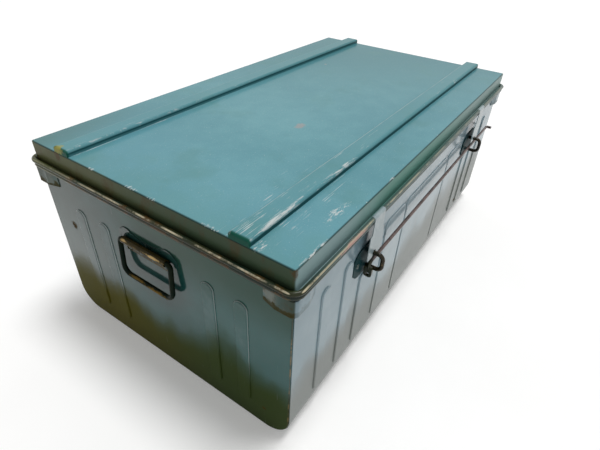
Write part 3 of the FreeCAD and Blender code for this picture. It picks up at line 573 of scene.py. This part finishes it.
def bodyEnamel(name, look):
    paint = Paint(name)
    cloud = paint.noise(3.4, 4, 0.6, shift=1)
    mottle = paint.noise(40, 5, 0.62)
    colour = paint.blend(paint.spread(cloud * 0.75 + mottle * 0.25), look["deep"], look["pale"])
    dustAndShade, dullAndShaded = look["dirtAndShade"], 0.0
    # ends: painted warmer towards the back and cooler towards the front as the light falls on them, with
    # painted shade under the rim, where the gloss is also duller, and round the handle
    if "warm" in look:
        colour = paint.blend(paint.band(paint.y, *look["warmY"]) * 0.6, colour, look["warm"])
        colour = paint.blend(paint.fade(paint.y, *look["coolY"]) * 0.5, colour, look["cool"])
        dullAndShaded = paint.band(paint.z, *look["underRimZ"]) * paint.fade(paint.y, *look["underRimY"])
        colour = paint.blend(dullAndShaded * 0.7, colour, look["underRimShade"])
        fromHandle = (paint.y ** 2 + (paint.z - handleZ) ** 2) ** 0.5
        colour = paint.blend(paint.fade(fromHandle, *look["handleShadeReach"]) * 0.6, colour, look["handleShade"])
        dustAndShade = paint.blend(paint.band(paint.y, *look["dirtAndShadeBackY"]), dustAndShade, look["dirtAndShadeBack"])
        dustAndShade = paint.blend(paint.band(paint.x, *look["dirtAndShadeRightX"]) * 0.7, dustAndShade, look["dirtAndShadeRight"])
    # the pressings carry painted highlights: bright on their steep sides, brighter towards the back, and
    # faint on their crests, which are rubbed as well
    side = pressed(paint, "sideFrom") * (1 - pressed(paint, "sideTo"))
    bright = 0.50 + paint.band(paint.y, *pressing["brightY"]) * 0.40
    colour = paint.blend(side * bright, colour, look["side"])
    crest = pressed(paint, "crestFrom") * paint.band(cloud + mottle, 0.80, 1.15)
    colour = paint.blend(crest * look["crest"], colour, look["rubbedAndHighlight"])
    # darker and browner over the feet: dirt, and on the ends a painted reflection of the shaded floor beside
    # them
    swirl = paint.noise(6.5, 3, 0.55, stretch=(1.0, 1.0, 0.45), shift=4)
    level = paint.z + paint.y * look["dirtAndShadeTilt"] + (swirl - 0.5) * look["dirtAndShadeWaves"]
    dirtAndShade = paint.fade(level, *beside(look["dirtAndShadeTop"], look["dirtAndShadeFrom"]))
    dirtAndShade = dirtAndShade * paint.band(dirtAndShade + mottle * 0.8, 0.50, 1.05)
    colour = paint.blend(dirtAndShade * look["dirtAndShadeShare"], colour, dustAndShade)
    scrape = paint.noise(1.0, 5, 0.6, stretch=(150.0, 150.0, 14.0), shift=2)
    rub = paint.band(scrape, 0.68, 0.76)
    colour = paint.blend(rub * 0.14, colour, enamel["chalk"])
    seam = paint.band(abs(paint.y), *beside(wallOut, seamLook["wallFrom"]))
    seam = seam * paint.band(abs(paint.x), *beside(endX, seamLook["endFrom"]))
    colour = paint.blend(seam * 0.85, colour, enamel["olive"])
    colour = paint.blend(seam * paint.band(mottle, 0.48, 0.60) * 0.8, colour, enamel["ochre"])
    rust = paint.patches(look["rust"], paint.noise(260, 3, 0.6))
    colour = paint.blend(rust * 0.8, colour, enamel["brown"])
    roughness = 0.5 + rub * 0.1 + rust * 0.3
    gloss = (1 - dirtAndShade * look["dirtAndShadeShare"] * 0.96) * (1 - rust) * (0.55 + cloud * 0.60) * (1 - dullAndShaded * 0.2)
    height = sheetHeight(paint, look["wave"], look["peel"])
    return paint.finish(colour, roughness, 0.0, height, gloss, look)


rimCoat = {"wearDrop": 0.003, "ior": 1.15, "glossIor": 1.5, "glossRoughness": 0.08}


def rimEnamel(look):
    paint = Paint("rim_enamel")
    colour = beadTone(paint, 6)
    # ochre wear and a faint painted highlight along the body's bead
    wearAndHighlight = beadWearAndHighlight(paint, bodyBeadOut, bodyBeadZ - look["wearDrop"], 2) * 0.4
    colour = paint.blend(wearAndHighlight, colour, enamel["ochre"])
    height = paint.noise(90, 3, 0.5) * 0.00012
    return paint.finish(colour, 0.4, 0.0, height, 0.4 - wearAndHighlight * 0.2, look)


capLook = {
    "worn": (0.180, 0.165, 0.115),
    "foot": (0.050, 0.040, 0.008),
    "turn": (-0.002, 0.002),        # from an end round to a long wall
    "armFrom": (-0.028, -0.014),
    "footFrom": (0.0, 0.014),
    "cornerDarkFrom": (-0.034, -0.004),
    "ior": 1.1,
    "glossIor": 1.46,
    "glossRoughness": 0.12,
}


# the caps take the colours of the walls beside them, painted light on the long walls and painted shade on the
# ends, and have rubbed and stained since
def capEnamel(look):
    paint = Paint("corner_cap_enamel")
    onLong = paint.band(abs(paint.y) - abs(paint.x) + ringShift, *look["turn"])
    tone = paint.spread(paint.noise(40, 4, 0.6))
    endTone = paint.blend(tone, endLook["deep"], endLook["pale"])
    colour = paint.blend(onLong, endTone, paint.blend(tone, wallLook["deep"], wallLook["pale"]))
    arm = paint.fade(abs(paint.y), *beside(wallOut, look["armFrom"]))
    arm = arm * paint.band(paint.noise(26, 4, 0.6, shift=3), 0.34, 0.60)
    worn = paint.band(paint.noise(38, 5, 0.65, shift=6), 0.50, 0.64).over(arm) * (1 - onLong * 0.7)
    colour = paint.blend(worn * 0.50, colour, look["worn"])
    low = paint.fade(paint.z, *beside(capFoot, look["footFrom"]))
    stain = paint.band(paint.noise(80, 4, 0.7, shift=4) + low * 0.28, 0.57, 0.70) * (1 - onLong * 0.7)
    colour = paint.blend(stain * 0.85, colour, look["foot"])
    # darker by the corner, on the side of the end
    cornerDark = paint.band(abs(paint.y), *beside(wallOut, look["cornerDarkFrom"])) * (1 - onLong)
    colour = paint.blend(cornerDark * 0.6, colour, look["foot"])
    gloss = 0.8 - stain.over(cornerDark * 0.5) * 0.75
    return paint.finish(colour, 0.5, 0.0, worn * 0.0001, gloss, look)


plateLook = {
    "deep": (0.006, 0.032, 0.036), "pale": (0.010, 0.044, 0.048), "worn": 0.10, "gloss": 0.04, "ior": 1.1,
}
# the hasps painted pale grey-green, a painted reflection
strapLook = {
    "deep": (0.240, 0.310, 0.330), "pale": (0.330, 0.400, 0.410), "worn": 0.3, "gloss": 0.6, "ior": 1.3,
}
# the handle plates painted as dark as the ends they sit on: painted shade
handlePlateLook = {
    "deep": (0.005, 0.030, 0.025), "pale": (0.013, 0.052, 0.046), "worn": 0.15, "gloss": 0.95,
    "ior": 1.1, "glossIor": 1.46,
}
rivetHeadLook = {
    "deep": (0.012, 0.034, 0.026), "pale": (0.022, 0.054, 0.044), "worn": 0.3, "gloss": 0.6, "ior": 1.3,
}


def hardwareEnamel(name, look):
    paint = Paint(name)
    cloud = paint.noise(24, 5, 0.62)
    colour = paint.blend(paint.spread(cloud), look["deep"], look["pale"])
    rust = paint.band(paint.noise(75, 5, 0.65, shift=3), 0.60, 0.70)
    colour = paint.blend(rust * look["worn"], colour, enamel["brown"])
    bare = paint.band(paint.noise(1.0, 4, 0.6, stretch=(150.0, 150.0, 30.0)), 0.66, 0.74)
    colour = paint.blend(bare * look["worn"], colour, enamel["chalk"])
    height = paint.noise(160, 3, 0.55) * 0.00006
    gloss = look["gloss"] - rust * look["gloss"] * 0.8
    return paint.finish(colour, 0.45 + rust * 0.2, 0.0, height, gloss, look)


barLook = {
    "dark": (0.060, 0.042, 0.038), "brown": (0.130, 0.088, 0.080), "gold": (0.170, 0.115, 0.080),
    "goldShare": 0.10, "ior": 1.4, "tip": (0.020, 0.024, 0.008),
    "tipX": beside(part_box("locking_bar")[0].x, (0.008, 0.012)),
}
stapleLook = {
    "dark": (0.008, 0.010, 0.006), "brown": (0.030, 0.022, 0.008), "gold": (0.200, 0.130, 0.045),
    "goldShare": 0.16, "ior": 1.3,
}
# the bright patches on the bail and keeper are painted highlights on rubbed metal
bailLook = {
    "dark": (0.004, 0.013, 0.008), "brown": (0.010, 0.016, 0.007), "gold": (0.120, 0.075, 0.016),
    "goldShare": 0.16, "ior": 1.12, "bright": (0.210, 0.130, 0.025),
    "rubbedAndHighlight": [((bailLow.x + 0.0015, -0.018, bailLow.z + 0.005), (0.004, 0.034, 0.003)),
               ((bailLow.x + 0.0010, 0.030, bailLow.z + 0.007), (0.004, 0.020, 0.002))],
}
keeperLook = {
    "dark": (0.030, 0.024, 0.004), "brown": (0.066, 0.046, 0.007), "gold": (0.300, 0.180, 0.045),
    "goldShare": 0.14, "ior": 1.2, "bright": (0.800, 0.560, 0.240),
    "rubbedAndHighlight": [((keeperLow.x + 0.0012, -0.018, keeperHigh.z - 0.0035), (0.0022, 0.024, 0.0022)),
               ((keeperLow.x + 0.0014, 0.046, keeperHigh.z - 0.0025), (0.0022, 0.008, 0.0020))],
}


def wornIron(name, look):
    paint = Paint(name)
    cloud = paint.noise(30, 5, 0.65)
    fine = paint.noise(210, 4, 0.6)
    colour = paint.blend(paint.band(cloud * 0.7 + fine * 0.3, 0.42, 0.60), look["dark"], look["brown"])
    limit = 0.68 - look["goldShare"] * 0.4       # above this the iron shows through
    gold = paint.band(paint.noise(1.0, 4, 0.65, stretch=(160.0, 34.0, 160.0), shift=7), limit, limit + 0.10)
    colour = paint.blend(gold * 0.85, colour, look["gold"])
    if "tip" in look:
        colour = paint.blend(paint.fade(paint.x, *look["tipX"]), colour, look["tip"])
    # painted highlights at set places, on rubbed metal
    if "rubbedAndHighlight" in look:
        shine = paint.patches(look["rubbedAndHighlight"], paint.noise(90, 4, 0.7, shift=2))
        colour = paint.blend(shine * 0.9, colour, look["bright"])
    roughness = 0.10 + fine * 0.12
    return paint.finish(colour, roughness, gold * 0.5, fine * 0.00003 + cloud * 0.00012, 0.0, look)


steelLook = {"bright": (0.42, 0.40, 0.36), "dullAndShaded": (0.20, 0.18, 0.15), "rust": (0.13, 0.06, 0.03)}


def drawnSteel(look):
    paint = Paint("inner_wire_steel")
    colour = paint.blend(paint.spread(paint.noise(50, 4, 0.6)), look["dullAndShaded"], look["bright"])
    rust = paint.band(paint.noise(90, 5, 0.65, shift=2), 0.60, 0.74)
    colour = paint.blend(rust, colour, look["rust"])
    return paint.finish(colour, 0.34 + rust * 0.4, 0.85 - rust * 0.7, paint.noise(300, 3, 0.5) * 0.00006)


finishes = {
    "lid": lidEnamel(lidLook),
    "batten": battenEnamel(battenLook),
    "wall": bodyEnamel("wall_enamel", wallLook),
    "end": bodyEnamel("end_enamel", endLook),
    "rim": rimEnamel(rimCoat),
    "cap": capEnamel(capLook),
    "plate": hardwareEnamel("staple_plate_enamel", plateLook),
    "strap": hardwareEnamel("strap_enamel", strapLook),
    "handlePlate": hardwareEnamel("handle_plate_enamel", handlePlateLook),
    "rivet": hardwareEnamel("rivet_enamel", rivetHeadLook),
    "bar": wornIron("locking_bar_iron", barLook),
    "staple": wornIron("staple_iron", stapleLook),
    "bail": wornIron("bail_iron", bailLook),
    "keeper": wornIron("keeper_iron", keeperLook),
    "inner": drawnSteel(steelLook),
}


def bothSides(name):
    return [f"{name}_left", f"{name}_right"]


coats = {
    "lid": ["lid_shell", *bothSides("hinge_lid_leaf")],
    "batten": ["batten_front", "batten_rear"],
    "wall": ["body_wrap", *bothSides("hinge_body_leaf")],
    "end": bothSides("end_panel"),
    "handlePlate": bothSides("handle_plate"),
    "rim": ["body_rim"],
    "cap": bothSides("rim_corner_front") + bothSides("rim_corner_back"),
    "plate": bothSides("staple_plate"),
    "strap": bothSides("hasp"),
    "rivet": [
        *bothSides("handle_rivets"), *bothSides("staple_rivets"), "hinge_lid_rivets", "hinge_body_rivets",
    ],
    "bar": ["locking_bar"],
    "staple": bothSides("staple"),
    "bail": bothSides("handle_bail"),
    "keeper": bothSides("handle_keeper"),
    "inner": ["body_rim_wire", "lid_rim_wire", *bothSides("hinge_pin"), *bothSides("handle_backing")],
}
for coat, names in coats.items():
    for name in names:
        slots = nodes[name].material_slots
        if not slots:
            nodes[name].data.materials.append(finishes[coat])
        for slot in slots:
            slot.material = finishes[coat]
print("finishes on", sum(len(names) for names in coats.values()), "nodes")


# points nearer than this are one; faces that meet at more than this angle keep a sharp edge
weldGap = 1e-6
sharpAngle = math.radians(38)


# a geometry tree with named inputs, grown into a plain mesh
class Grower(NodeMaker):
    kinds = {float: "NodeSocketFloat", int: "NodeSocketInt", bpy.types.Object: "NodeSocketObject",
             bpy.types.Material: "NodeSocketMaterial"}

    def __init__(self, name, inputs):
        super().__init__(bpy.data.node_groups.new(name, "GeometryNodeTree"))
        face = self.tree.interface
        face.new_socket("Geometry", in_out="OUTPUT", socket_type="NodeSocketGeometry")
        face.new_socket("Geometry", in_out="INPUT", socket_type="NodeSocketGeometry")
        self.values = {}
        for title, value in inputs.items():
            kind = next(socket for base, socket in self.kinds.items() if isinstance(value, base))
            self.values[face.new_socket(title, in_out="INPUT", socket_type=kind).identifier] = value
        self.source = self.tree.nodes.new("NodeGroupInput")

    def given(self, title):
        return Field(self, self.source.outputs[title])

    def vector(self, x, y, z):
        return self.add("ShaderNodeCombineXYZ", {}, {0: x, 1: y, 2: z})

    def attribute(self, name, kind="FLOAT"):
        return self.add("GeometryNodeInputNamedAttribute", {"data_type": kind}, {"Name": name}, "Attribute")

    def random(self, low, high, seed):
        return self.add("FunctionNodeRandomValue", {"data_type": "FLOAT"}, {2: low, 3: high, "Seed": seed}, 1)

    def grow(self, name, mesh, result):
        solid = self.add("GeometryNodeRealizeInstances", {}, {"Geometry": result})
        coated = self.add("GeometryNodeSetMaterial", {}, {
            "Geometry": solid, "Material": self.given("Finish"),
        })
        self.add("NodeGroupOutput", {}, {"Geometry": coated})
        piece = bpy.data.objects.new(name, mesh)
        bpy.context.scene.collection.objects.link(piece)
        modifier = piece.modifiers.new("grow", "NODES")
        modifier.node_group = self.tree
        for identifier, value in self.values.items():
            modifier[identifier] = value
        evaluated = piece.evaluated_get(bpy.context.evaluated_depsgraph_get())
        grown = bpy.data.meshes.new_from_object(evaluated)
        piece.modifiers.remove(modifier)
        piece.data = grown
        shell = bmesh.new()
        shell.from_mesh(grown)
        bmesh.ops.remove_doubles(shell, verts=shell.verts, dist=weldGap)
        bmesh.ops.recalc_face_normals(shell, faces=shell.faces)
        shell.to_mesh(grown)
        shell.free()
        grown.shade_smooth()
        grown.set_sharp_from_angle(angle=sharpAngle)
        return piece


rimLook = {
    "cornerRadius": 0.01423,
    "leg": 0.018,
    "bend": 0.001,
    "bendMiddle": 0.0003,
    "stride": 0.004,
    "cornerSteps": 8,
    "curlSteps": 20,
    "dent": 0.0004,
    "dentScale": 9.0,
    "seed": 7,
}


# section of the rolled rim: leg inside the wall, shelf, and the curl round its wire
def rimSection(look):
    outer, sheet = gauge["bead"], gauge["sheet"]
    bend, bendMiddle = look["bend"], look["bendMiddle"]
    legOut = wallOut - sheet - gauge["lap"] - bodyBeadOut
    legIn = legOut - sheet
    legFoot = outer - look["leg"]
    points = [
        (legIn, legFoot), (legIn, outer - bend), (legIn + bendMiddle, outer - bendMiddle),
        (legIn + bend, outer),
    ]
    closing = math.pi + math.asin((outer - sheet) / outer)
    for step in range(look["curlSteps"] + 1):
        angle = math.pi / 2 - (closing + math.pi / 2) * step / look["curlSteps"]
        points.append((outer * math.cos(angle), outer * math.sin(angle)))
    points += [(legOut, outer - sheet), (legOut, legFoot)]
    return points


def rolledRim(look):
    tree = Grower("rolled_rim", {
        "Length": 2 * (bodyBeadOut + ringShift),
        "Depth": 2 * bodyBeadOut,
        "Corner": look["cornerRadius"],
        "Height": bodyBeadZ,
        "Stride": look["stride"],
        "Corner Steps": look["cornerSteps"],
        "Dent": look["dent"],
        "Dent Scale": look["dentScale"],
        "Seed": look["seed"],
        "Finish": finishes["rim"],
    })
    line = tree.add("GeometryNodeCurvePrimitiveQuadrilateral", {"mode": "RECTANGLE"}, {
        "Width": tree.given("Length"), "Height": tree.given("Depth"),
    })
    line = tree.add("GeometryNodeFilletCurve", {"mode": "POLY"}, {
        "Curve": line, "Count": tree.given("Corner Steps"), "Radius": tree.given("Corner"),
    })
    line = tree.add("GeometryNodeResampleCurve", {"mode": "LENGTH"}, {
        "Curve": line, "Length": tree.given("Stride"),
    })
    dents = tree.add("ShaderNodeTexNoise", {"noise_dimensions": "4D"}, {
        "W": tree.given("Seed"), "Scale": tree.given("Dent Scale"), "Detail": 2.0,
    })
    outward = tree.add("GeometryNodeInputNormal", {}, {})
    inward = tree.add("ShaderNodeVectorMath", {"operation": "SCALE"}, {
        0: outward, "Scale": dents * tree.given("Dent") * -1,
    })
    line = tree.add("GeometryNodeSetPosition", {}, {"Geometry": line, "Offset": inward})
    line = tree.add("GeometryNodeTransform", {}, {
        "Geometry": line, "Translation": tree.vector(0.0, 0.0, tree.given("Height")),
    })
    section = tree.add("GeometryNodeMeshToCurve", {}, {"Mesh": tree.given("Geometry")})
    rolled = tree.add("GeometryNodeCurveToMesh", {}, {"Curve": line, "Profile Curve": section})
    points = rimSection(look)
    loop = bpy.data.meshes.new("rolled_rim")
    edges = [(index, (index + 1) % len(points)) for index in range(len(points))]
    # the section hangs from the path, so its heights are turned over
    loop.from_pydata([(across, -up, 0.0) for across, up in points], edges, [])
    rim = tree.grow("rolled_rim", loop, rolled)
    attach(rim, "case")
    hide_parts("body_rim")
    print("rolled rim:", len(rim.data.polygons), "faces")


rolledRim(rimLook)

rivetLook = {
    "head": 0.0040,
    "headHeight": 0.0020,
    "shank": 0.0018,
    "tail": 0.0032,
    "tailHeight": 0.0015,
    "sides": 20,
    "crownSteps": 6,
    "tilt": 0.006,
    "seed": 3,
}
# the rivet nodes of each body, and the way their heads face
rivetRows = {
    "case": {
        "handle_rivets_left": (-1, 0, 0),
        "handle_rivets_right": (1, 0, 0),
        "staple_rivets_left": (0, -1, 0),
        "staple_rivets_right": (0, -1, 0),
        "hinge_body_rivets": (0, 1, 0),
    },
    "lid": {"hinge_lid_rivets": (0, 1, 0)},
}


# one turned rivet standing on its seat; what lies behind the sheets is marked, to be pulled back by the grip
def rivetPattern(look):
    section = [(0.0, look["headHeight"], 0.0)]
    for step in range(1, look["crownSteps"] + 1):
        angle = math.pi / 2 * (1 - step / look["crownSteps"])
        section.append((look["head"] * math.cos(angle), look["headHeight"] * math.sin(angle), 0.0))
    section += [(look["shank"], 0.0, 0.0), (look["shank"], 0.0, 1.0), (look["tail"], 0.0, 1.0),
                (look["tail"], -look["tailHeight"], 1.0), (0.0, -look["tailHeight"], 1.0)]
    verts, marks, rings = [], [], []
    for radius, height, behind in section:
        count = look["sides"] if radius else 1
        rings.append(range(len(verts), len(verts) + count))
        for index in range(count):
            angle = 2 * math.pi * index / count
            verts.append((radius * math.cos(angle), radius * math.sin(angle), height))
            marks.append(behind)
    faces = []
    for upper, lower in zip(rings, rings[1:]):
        for index in range(look["sides"]):
            corners = []
            for ring, at in ((upper, index), (lower, index), (lower, index + 1), (upper, index + 1)):
                corner = ring[at % len(ring)]
                if corner not in corners:
                    corners.append(corner)
            faces.append(corners)
    mesh = bpy.data.meshes.new("rivet_pattern")
    mesh.from_pydata(verts, [], faces)
    mesh.attributes.new("behind", "FLOAT", "POINT").data.foreach_set("value", marks)
    pattern = bpy.data.objects.new("rivet_pattern", mesh)
    bpy.context.scene.collection.objects.link(pattern)
    return pattern


# seats of the rivets in a CAD node: each loose solid of its mesh is one rivet
def rivetSeats(node, facing, look):
    solids = bmesh.new()
    solids.from_mesh(nodes[node].data)
    bmesh.ops.remove_doubles(solids, verts=solids.verts, dist=weldGap)
    waiting = set(solids.verts)
    seats = []
    while waiting:
        island = [waiting.pop()]
        for vert in island:
            for edge in vert.link_edges:
                other = edge.other_vert(vert)
                if other in waiting:
                    waiting.remove(other)
                    island.append(other)
        middle = sum((vert.co for vert in island), Vector()) / len(island)
        reach = [vert.co.dot(facing) for vert in island]
        seat = max(reach) - look["headHeight"]
        grip = seat - min(reach) - look["tailHeight"]
        seats.append((middle + facing * (seat - middle.dot(facing)), grip))
    solids.free()
    return sorted(seats, key=lambda seat: tuple(seat[0]))


def rivetSet(body, rows, look):
    pattern = rivetPattern(look)
    tree = Grower(f"rivets_{body}", {
        "Rivet": pattern, "Tilt": look["tilt"], "Seed": look["seed"], "Finish": finishes["rivet"],
    })
    shape = tree.add("GeometryNodeObjectInfo", {}, {
        "Object": tree.given("Rivet"), "As Instance": True,
    }, "Geometry")
    facing = tree.attribute("facing", "FLOAT_VECTOR")
    grip = tree.attribute("grip")
    behind = tree.attribute("behind")
    upright = tree.add("FunctionNodeAlignRotationToVector", {"axis": "Z"}, {"Vector": facing})
    lean = tree.random(tree.given("Tilt") * -1, tree.given("Tilt"), tree.given("Seed"))
    spin = tree.random(0.0, 2 * math.pi, tree.given("Seed") + 1)
    turn = tree.add("FunctionNodeEulerToRotation", {}, {"Euler": tree.vector(lean, 0.0, spin)})
    turned = tree.add("FunctionNodeRotateRotation", {"rotation_space": "LOCAL"}, {
        "Rotation": upright, "Rotate By": turn,
    })
    placed = tree.add("GeometryNodeInstanceOnPoints", {}, {
        "Points": tree.given("Geometry"), "Instance": shape, "Rotation": turned,
    })
    placed = tree.add("GeometryNodeRealizeInstances", {}, {"Geometry": placed})
    pulled = tree.add("ShaderNodeVectorMath", {"operation": "SCALE"}, {
        0: facing, "Scale": grip * behind * -1,
    })
    placed = tree.add("GeometryNodeSetPosition", {}, {"Geometry": placed, "Offset": pulled})
    spots, directions, grips = [], [], []
    for node, direction in rows.items():
        for spot, length in rivetSeats(node, Vector(direction), look):
            spots.append(spot)
            directions.extend(direction)
            grips.append(length)
    mesh = bpy.data.meshes.new(f"rivets_{body}")
    mesh.from_pydata(spots, [], [])
    mesh.attributes.new("facing", "FLOAT_VECTOR", "POINT").data.foreach_set("vector", directions)
    mesh.attributes.new("grip", "FLOAT", "POINT").data.foreach_set("value", grips)
    rivets = tree.grow(f"rivets_{body}", mesh, placed)
    for name in ("facing", "grip", "behind"):
        if name in rivets.data.attributes:
            rivets.data.attributes.remove(rivets.data.attributes[name])
    bpy.data.objects.remove(pattern)
    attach(rivets, body)
    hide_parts(*rows)
    print("rivets on", body, "set:", len(spots))


for body, rows in rivetRows.items():
    rivetSet(body, rows, rivetLook)

plainWhite = (1.0, 1.0, 1.0, 1.0)

# a wide round floor, whose far rim meets the white of the sky
stageLook = {
    "radius": 40.0,
    "sides": 64,
    "pale": (0.860, 0.858, 0.852),
    "deep": (0.835, 0.832, 0.825),
    "lift": 0.20,
}


# the floor as the eye and polished surfaces see it is lifted to white; its light on the trunk stays plain
def floorFinish(look):
    paint = Paint("studio_floor")
    colour = paint.blend(paint.band(paint.noise(2.0, 4, 0.6), 0.35, 0.65), look["deep"], look["pale"])
    matt = paint.add("ShaderNodeBsdfDiffuse", {}, {"Color": colour})
    glow = paint.add("ShaderNodeEmission", {}, {"Color": plainWhite, "Strength": look["lift"]})
    lifted = paint.add("ShaderNodeAddShader", {}, {0: matt, 1: glow})
    shown = paint.add("ShaderNodeMixShader", {}, {0: paint.seen(), 1: matt, 2: lifted})
    paint.add("ShaderNodeOutputMaterial", {}, {"Surface": shown})
    return paint.material


def studioFloor(look):
    sheet = bmesh.new()
    bmesh.ops.create_circle(sheet, cap_ends=True, segments=look["sides"], radius=look["radius"])
    mesh = bpy.data.meshes.new("studio_floor")
    sheet.to_mesh(mesh)
    sheet.free()
    mesh.materials.append(floorFinish(look))
    floor = bpy.data.objects.new("studio_floor", mesh)
    bpy.context.scene.collection.objects.link(floor)


studioFloor(stageLook)

lampLook = {
    "strength": 1.9,
    "softness": 20.0,
    "from": (0.30, -0.16, 1.40),
    "skyLeft": 0.26,
    "skyRight": 0.56,
    "skySpan": 0.8,
}


def studioLight(look):
    lamp = bpy.data.lights.new("key_light", "SUN")
    lamp.energy = look["strength"]
    lamp.angle = math.radians(look["softness"])
    key = bpy.data.objects.new("key_light", lamp)
    key.rotation_euler = Vector(look["from"]).to_track_quat("Z", "Y").to_euler()
    bpy.context.scene.collection.objects.link(key)
    world = bpy.data.worlds.new("studio_sky")
    world.use_nodes = True
    world.node_tree.nodes.clear()
    sky = NodeMaker(world.node_tree)
    direction = sky.add("ShaderNodeTexCoord", {}, {}, "Generated")
    across = sky.add("ShaderNodeSeparateXYZ", {}, {"Vector": direction}, "X")
    share = sky.add("ShaderNodeMapRange", {"interpolation_type": "SMOOTHSTEP"}, {
        0: across, 1: -look["skySpan"], 2: look["skySpan"],
    })
    dim, bright = ((look[side],) * 3 + (1.0,) for side in ("skyLeft", "skyRight"))
    tone = sky.add("ShaderNodeMix", {"data_type": "RGBA"}, {0: share, 6: dim, 7: bright}, 2)
    light = sky.add("ShaderNodeBackground", {}, {"Color": tone, "Strength": 1.0})
    white = sky.add("ShaderNodeBackground", {}, {"Color": plainWhite, "Strength": 1.0})
    shown = sky.add("ShaderNodeMixShader", {}, {0: sky.seen(), 1: light, 2: white})
    sky.add("ShaderNodeOutputWorld", {}, {"Surface": shown})
    bpy.context.scene.world = world


studioLight(lampLook)

cameraView = {
    "place": (-0.7538, -0.4471, 0.6784),
    "heading": 57.556,
    "pitch": -36.271,
    "roll": 3.025,
    "lens": 26.296,
    "sensor": 36.0,
}


def photoCamera(view):
    lens = bpy.data.cameras.new("photo_camera")
    lens.sensor_fit = "HORIZONTAL"
    lens.sensor_width = view["sensor"]
    lens.lens = view["lens"]
    camera = bpy.data.objects.new("photo_camera", lens)
    turn = Matrix.Rotation(math.radians(-view["heading"]), 4, "Z")
    tilt = Matrix.Rotation(math.radians(90 + view["pitch"]), 4, "X")
    roll = Matrix.Rotation(math.radians(view["roll"]), 4, "Z")
    camera.matrix_world = Matrix.Translation(view["place"]) @ turn @ tilt @ roll
    bpy.context.scene.collection.objects.link(camera)
    bpy.context.scene.camera = camera


photoCamera(cameraView)
bpy.context.scene.view_settings.view_transform = "Standard"
print("stage, light and camera set")
